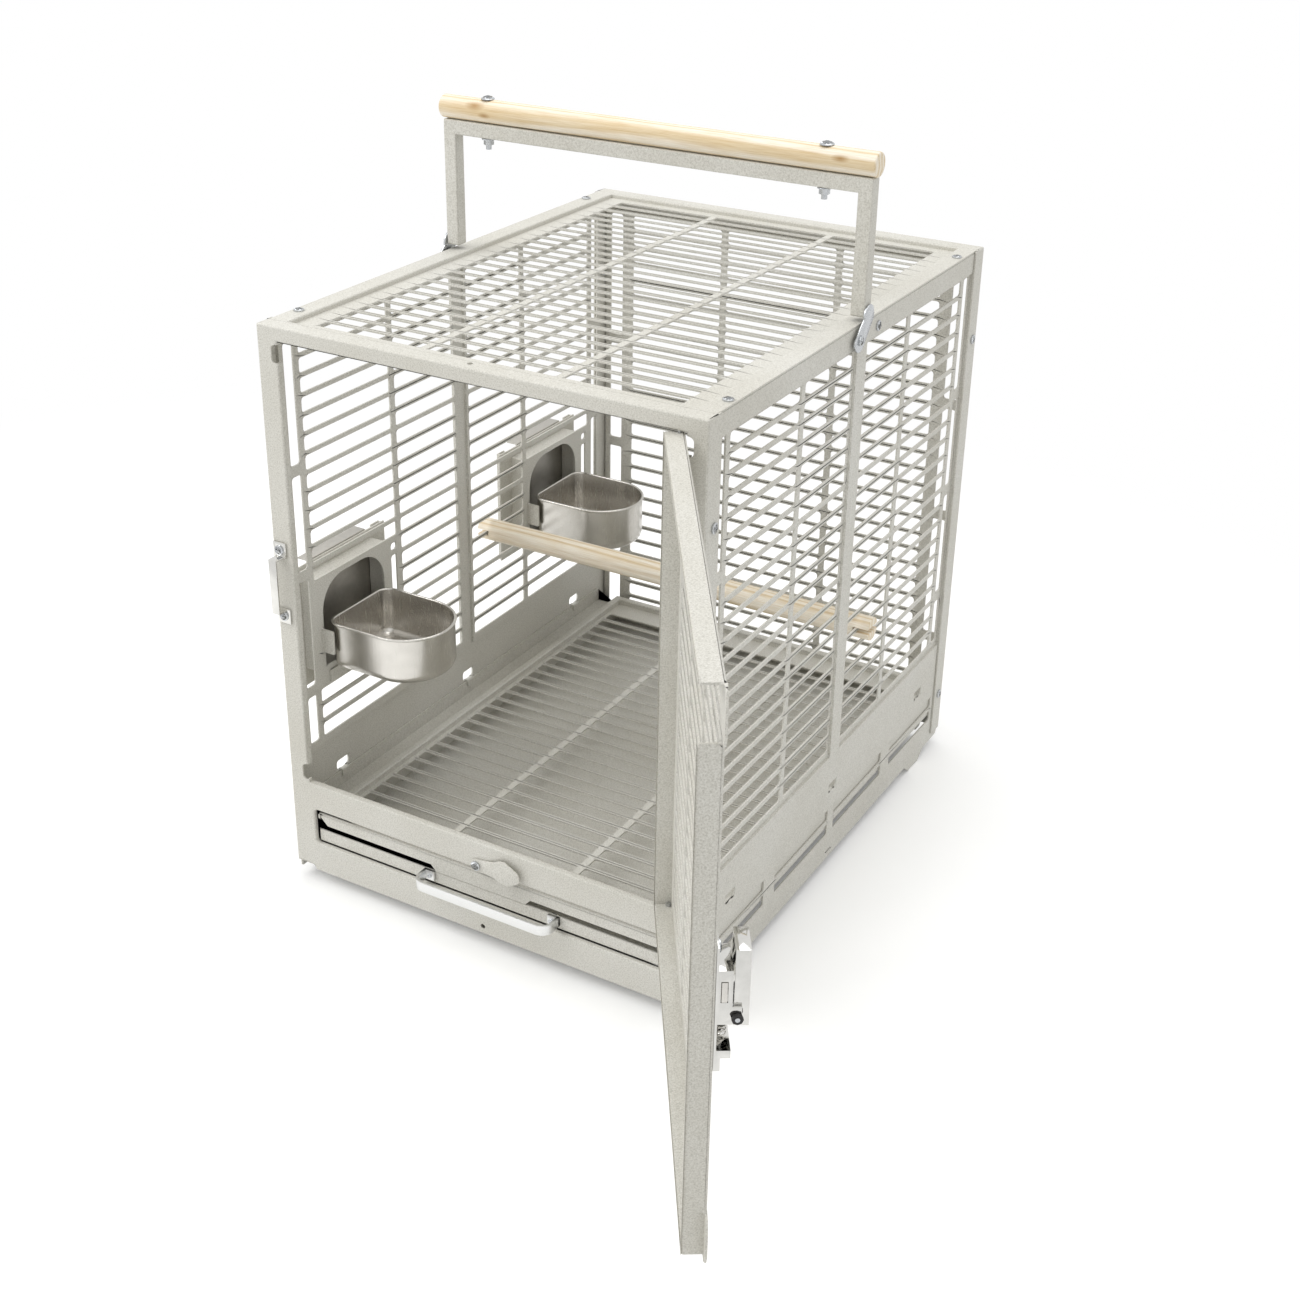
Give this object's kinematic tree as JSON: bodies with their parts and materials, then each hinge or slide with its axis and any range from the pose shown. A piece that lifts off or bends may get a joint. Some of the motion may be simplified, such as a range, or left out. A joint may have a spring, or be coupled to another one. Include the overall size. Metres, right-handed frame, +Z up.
{
  "type": "bird travel cage",
  "caption": "Slotted sheet-metal travel cage for a bird, with hinged door and latch, slide-out grate and tray, side feeders with cups, a wooden perch and a folding carrying handle.",
  "frame": {"origin": "middle of the underside of the front left foot, on the floor", "axes": "+X to the right seen from the door side, +Y from the door to the back, +Z up"},
  "size_m": [0.6193, 0.8386, 0.6605],
  "materials": {
    "coat": "fine-textured powder coat",
    "stainless": "polished stainless",
    "chrome": "bright chrome plate",
    "zinc": "bright zinc plate",
    "aluminium": "satin anodised",
    "galvanised": "plain galvanised sheet",
    "rubber": "matt black",
    "wood": "bare sanded pine"
  },
  "bodies": {
    "cage": {"back_panel": "coat", "front_cup_cradle": "coat", "front_feeder_guide": "coat", "front_frame": "coat", "grate_tab_screw": "zinc", "hinge_pin_lower": "zinc", "hinge_pin_upper": "zinc", "keeper": "chrome", "keeper_screw_1": "zinc", "keeper_screw_2": "zinc", "left_flange_screw_1": "zinc", "left_flange_screw_2": "zinc", "left_flange_screw_3": "zinc", "left_panel": "coat", "left_pivot_screw": "zinc", "left_rail": "coat", "left_stop_screw": "zinc", "left_top_screw_1": "zinc", "left_top_screw_2": "zinc", "perch": "wood", "rear_cup_cradle": "coat", "rear_feeder_guide": "coat", "right_flange_screw_1": "zinc", "right_flange_screw_2": "zinc", "right_flange_screw_3": "zinc", "right_panel": "coat", "right_pivot_screw": "zinc", "right_rail": "coat", "right_stop_screw": "zinc", "right_top_screw_1": "zinc", "right_top_screw_2": "zinc", "top_panel": "coat"},
    "handle": {"handle_frame": "coat", "handle_grip": "wood", "handle_bolt_1": "zinc", "handle_bolt_2": "zinc", "handle_nut_1": "zinc", "handle_nut_2": "zinc", "left_strap": "zinc", "right_strap": "zinc"},
    "door": {"door_leaf": "coat", "latch_body": "chrome", "latch_pin": "zinc", "latch_washer": "rubber", "latch_spring": "stainless", "latch_screw_1": "zinc", "latch_screw_2": "zinc"},
    "latch_lever": {"latch_lever": "chrome"},
    "latch_bolt": {"latch_bolt": "stainless"},
    "tray": {"tray": "coat", "tray_pull": "aluminium", "tray_pull_screw_1": "zinc", "tray_pull_screw_2": "zinc"},
    "grate": {"grate": "coat"},
    "grate_tab": {"grate_tab": "coat"},
    "front_shutter": {"front_shutter": "galvanised"},
    "rear_shutter": {"rear_shutter": "galvanised"},
    "front_cup": {"front_cup": "stainless"},
    "rear_cup": {"rear_cup": "stainless"}
  },
  "joints": [
    {"name": "door_hinge", "type": "hinge", "parent": "cage", "child": "door", "pos_m": [0.3752, -0.059, 0.306], "axis": [0, 0, 1], "range_deg": [-122.5, 0]},
    {"name": "latch_lever_turn", "type": "hinge", "parent": "door", "child": "latch_lever", "pos_m": [0.57462, -0.33983, 0.286], "axis": [-0.5373, 0.8434, 0], "range_deg": [0, 60], "stiffness_Nm_per_rad": 0.05, "springref_deg": -17.19},
    {"name": "latch_bolt_slide", "type": "slide", "parent": "door", "child": "latch_bolt", "axis": [0.5373, -0.8434, 0], "range_m": [0, 0.018]},
    {"name": "handle_fold", "type": "hinge", "parent": "cage", "child": "handle", "pos_m": [0.1962, 0.188, 0.51], "axis": [1, 0, 0], "range_deg": [0, 78]},
    {"name": "tray_slide", "type": "slide", "parent": "cage", "child": "tray", "axis": [0, -1, 0], "range_m": [0, 0.42]},
    {"name": "grate_slide", "type": "slide", "parent": "cage", "child": "grate", "axis": [0, -1, 0], "range_m": [0, 0.42]},
    {"name": "grate_tab_turn", "type": "hinge", "parent": "cage", "child": "grate_tab", "pos_m": [0.192, -0.062, 0.0815], "axis": [0, -1, 0], "range_deg": [0, 22]},
    {"name": "front_shutter_lift", "type": "slide", "parent": "cage", "child": "front_shutter", "axis": [0, 0, 1], "range_m": [0, 0.09]},
    {"name": "rear_shutter_lift", "type": "slide", "parent": "cage", "child": "rear_shutter", "axis": [0, 0, 1], "range_m": [0, 0.09]},
    {"name": "front_cup_lift", "type": "slide", "parent": "cage", "child": "front_cup", "axis": [0, 0, 1], "range_m": [0, 0.06]},
    {"name": "rear_cup_lift", "type": "slide", "parent": "cage", "child": "rear_cup", "axis": [0, 0, 1], "range_m": [0, 0.06]}
  ],
  "couplings": [
    {"joint": "latch_bolt_slide", "follows": "latch_lever_turn", "m_per_rad": 0.01718}
  ]
}
